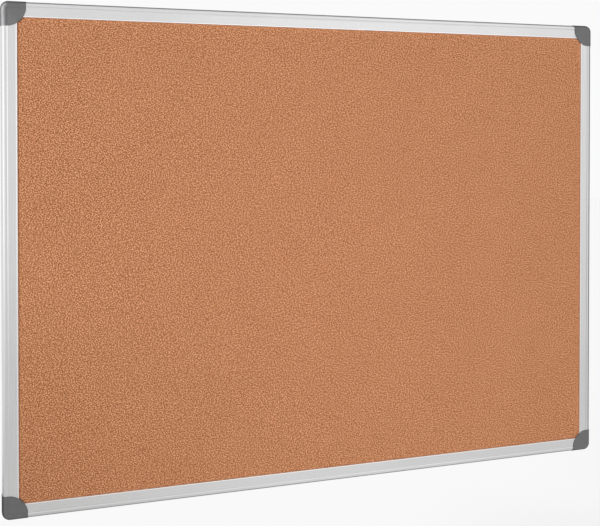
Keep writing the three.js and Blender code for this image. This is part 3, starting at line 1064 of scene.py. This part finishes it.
def floor_material():
    """A pale floor: patches of painted shade in front of the board, where it shows its own lit shading,
    and the backdrop's white further away.
    """
    material = bpy.data.materials.new("pale_floor")
    material.use_nodes = True
    tree = material.node_tree
    tree.nodes.clear()
    lit = add_node(tree, "ShaderNodeBsdfDiffuse", {"Color": FLOOR_COLOUR})
    white = add_node(tree, "ShaderNodeEmission", {"Color": BACKDROP, "Strength": 1.0})
    position = add_node(tree, "ShaderNodeNewGeometry").outputs["Position"]
    # Painted shade: each patch lowers the share of the backdrop's white, so the floor's darker lit
    # shading shows there
    whiteness = add_node(tree, "ShaderNodeMath", {0: FLOOR_WHITE}, operation="SUBTRACT")
    tree.links.new(painted_floor_shade(tree, position, *PAINTED_FLOOR_SHADES[0]), whiteness.inputs[1])
    for shade in PAINTED_FLOOR_SHADES[1:]:
        shaded = add_node(tree, "ShaderNodeMath", operation="SUBTRACT")
        tree.links.new(whiteness.outputs[0], shaded.inputs[0])
        tree.links.new(painted_floor_shade(tree, position, *shade), shaded.inputs[1])
        whiteness = shaded
    share = add_node(tree, "ShaderNodeMath", operation="MULTIPLY")
    mix = add_node(tree, "ShaderNodeMixShader")
    output = add_node(tree, "ShaderNodeOutputMaterial")
    tree.links.new(seen_directly(tree), share.inputs[0])
    tree.links.new(whiteness.outputs[0], share.inputs[1])
    tree.links.new(share.outputs[0], mix.inputs["Fac"])
    tree.links.new(lit.outputs[0], mix.inputs[1])
    tree.links.new(white.outputs[0], mix.inputs[2])
    tree.links.new(mix.outputs[0], output.inputs["Surface"])
    return material


def add_sheet(name, low, high, material):
    """A flat sheet between two opposite corners that share one coordinate."""
    first, second = [axis for axis in range(3) if low[axis] != high[axis]]
    corners = [list(low) for _ in range(4)]
    for corner in corners[1:3]:
        corner[first] = high[first]
    for corner in corners[2:]:
        corner[second] = high[second]
    mesh = bpy.data.meshes.new(name)
    mesh.from_pydata(corners, [], [(0, 1, 2, 3)])
    mesh.materials.append(material)
    return add_object(name, mesh)


def make_floor():
    low = (-FLOOR_HALF, -FLOOR_HALF, FLOOR_RISE)
    high = (FLOOR_HALF, FLOOR_HALF, FLOOR_RISE)
    floor = add_sheet("floor", low, high, floor_material())


# Grey cards: name, opposite corners, and whether the rails mirror the card. The flag only shades the
# lower left from the key lamp.
CARD_LEVEL = 0.2
CARD_COLOUR = (0.01, 0.01, 0.01, 1)
CARDS = [
    ("card_above", (-2, 0, 1.2), (2, 2.5, 1.2), True),
    ("card_right", (1.3, -0.35, -0.7), (1.3, 3, 1.1), True),
    ("card_below", (-1.4, 0, -0.7), (1.4, 0.8, -0.7), True),
    ("flag_low_left", (-4.2, -3, -0.79), (-2.74, -3, 0.2), False),
]


def make_cards():
    """Grey cards that the camera doesn't see."""
    material, _, _ = new_material(
        "grey_card",
        Base_Color=CARD_COLOUR,
        Specular_IOR_Level=0,
        Emission_Color=(1, 1, 1, 1),
        Emission_Strength=CARD_LEVEL,
    )
    for name, low, high, mirrored in CARDS:
        card = add_sheet(name, low, high, material)
        card.visible_camera = False
        card.visible_diffuse = False
        card.visible_glossy = mirrored


# Lamps: name, place, aim, width, height, watts, whether the rails mirror the lamp, and spread in degrees
LAMPS = [
    ("key", (-8.56, -10.57, 1.7), (0, 0, 0.1), 1.8, 1.8, 990, False, 180),
    ("balance", (0.2, -1.9, 0.1), (0.15, 0, 0), 0.8, 0.8, 10.6, False, 180),
    ("front", (0.55, -3.6, 0.45), (0.3, 0, 0.1), 4.5, 2.4, 18, False, 180),
    ("glow", (1.6, -3.6, 1.0), (0.2, 0, 0.4), 2.0, 0.9, 1.7, True, 180),
    ("overhead", (2.2, -3.3, 3.2), (0.2, 0, 0.4), 2.2, 1.6, 3.5, True, 180),
    ("left", (-2.4, -1.0, 0.35), (-0.6, 0, 0.1), 1.9, 1.5, 4.8, True, 180),
    ("face", (-0.45, -3.6, 0.12), (-0.6, 0, 0.12), 0.6, 1.15, 0.14, True, 180),
    ("corner", (-1.5, -0.011, 0.33), (-0.6, -0.011, 0.43), 0.012, 0.06, 0.5, False, 20),
    ("behind", (0, 2.6, 0), (0, 0, 0), 1.0, 0.6, 45, False, 180),
]


def add_lamp(name, place, aim, width, height, watts, mirrored, spread):
    light = bpy.data.lights.new(name, "AREA")
    light.shape = "RECTANGLE"
    light.size = width
    light.size_y = height
    light.energy = watts
    light.spread = math.radians(spread)
    lamp = add_object(name, light)
    lamp.location = place
    lamp.rotation_euler = (Vector(aim) - Vector(place)).to_track_quat("-Z", "Y").to_euler()
    lamp.visible_camera = False
    lamp.visible_glossy = mirrored


def make_lamps():
    for lamp in LAMPS:
        add_lamp(*lamp)


def make_camera():
    """The photograph's camera."""
    data = bpy.data.cameras.new("camera")
    data.lens = CAMERA_LENS
    data.sensor_width = CAMERA_SENSOR
    data.shift_y = HORIZON_SHIFT
    data.clip_start = CAMERA_NEAR
    data.clip_end = CAMERA_FAR
    camera = add_object("camera", data)
    camera.location = CAMERA_PLACE
    camera.rotation_euler = (math.pi / 2 + CAMERA_PITCH, 0, -CAMERA_YAW)
    bpy.context.scene.camera = camera


make_camera()
make_rails()
make_panel()
make_corners()
make_world()
make_floor()
make_cards()
make_lamps()
bpy.context.scene.view_settings.view_transform = "Standard"
